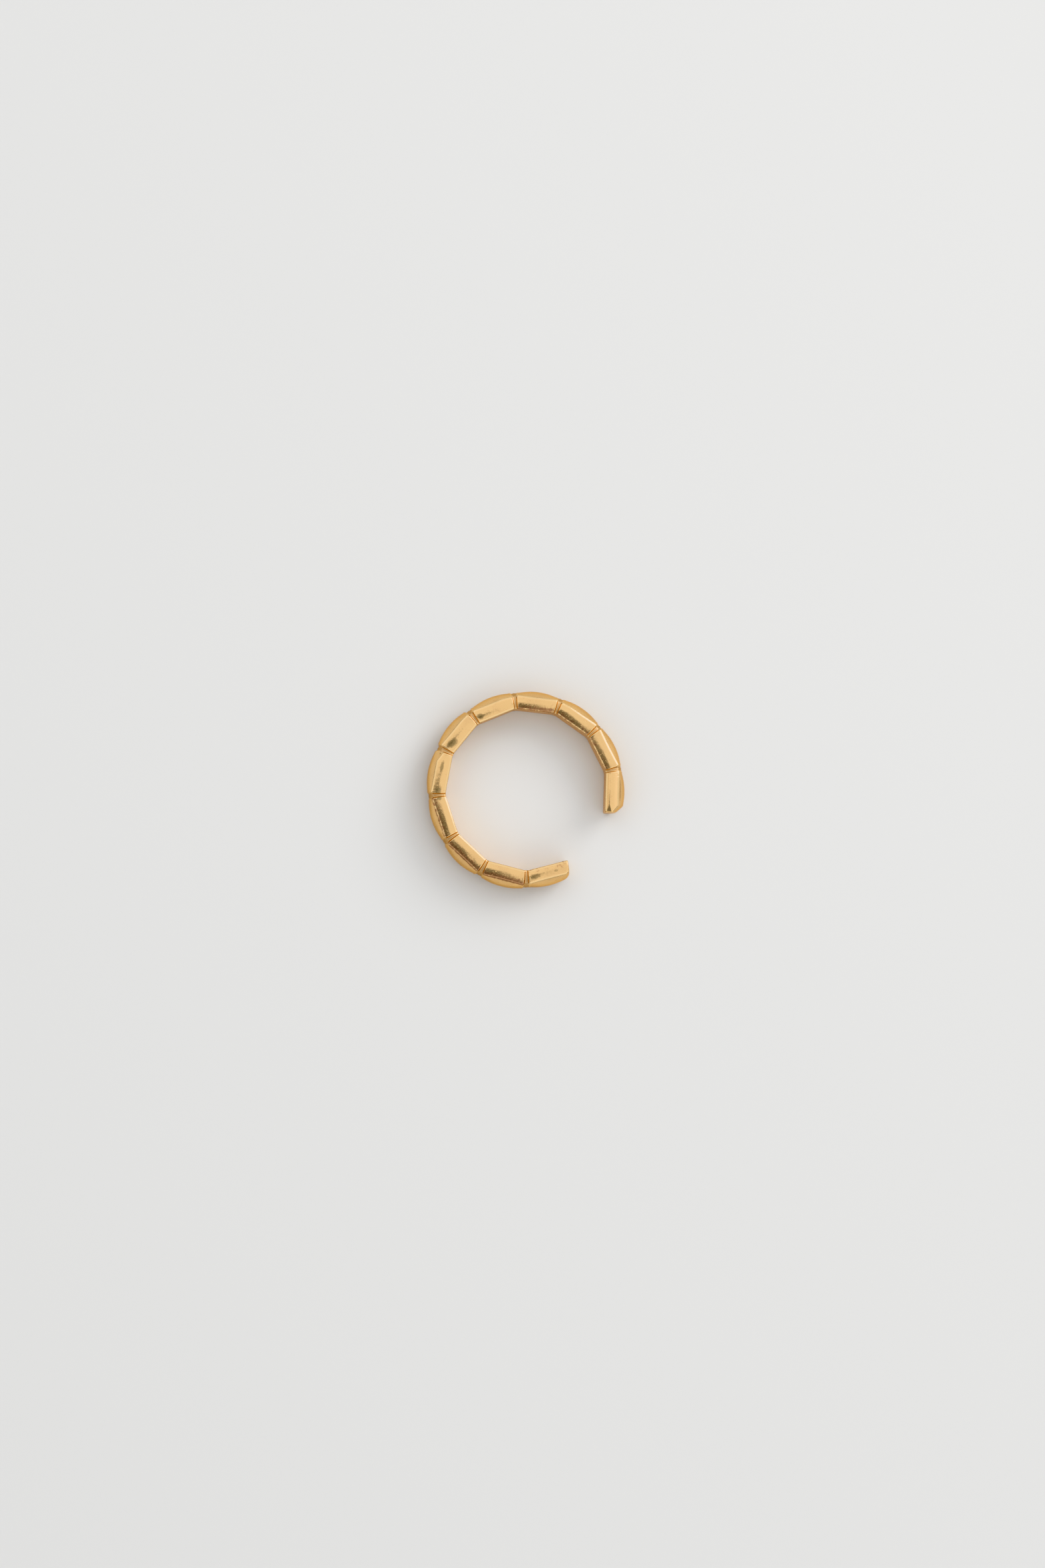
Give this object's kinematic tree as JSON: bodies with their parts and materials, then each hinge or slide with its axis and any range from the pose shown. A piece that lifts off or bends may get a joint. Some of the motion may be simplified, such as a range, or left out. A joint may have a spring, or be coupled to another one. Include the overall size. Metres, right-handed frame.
{
  "type": "open tile band ring",
  "caption": "Open finger ring of straight pillow-faced gold tiles with a wedge-shaped groove between each two, lying on its side.",
  "frame": {"origin": "on the finger's axis, in the plane of the lower edge faces on which the ring lies", "axes": "+Z along the finger's axis, up from the surface; the opening faces 38 degrees from +X towards -Y, as in the picture with +X to its right and +Y to its top"},
  "size_m": [0.0215, 0.0214, 0.004],
  "materials": {
    "polished_gold": "polished yellow gold plate, hand-finished, a little deeper and satin in the grooves"
  },
  "bodies": {
    "root": {"tile_band": "polished_gold"}
  },
  "joints": []
}
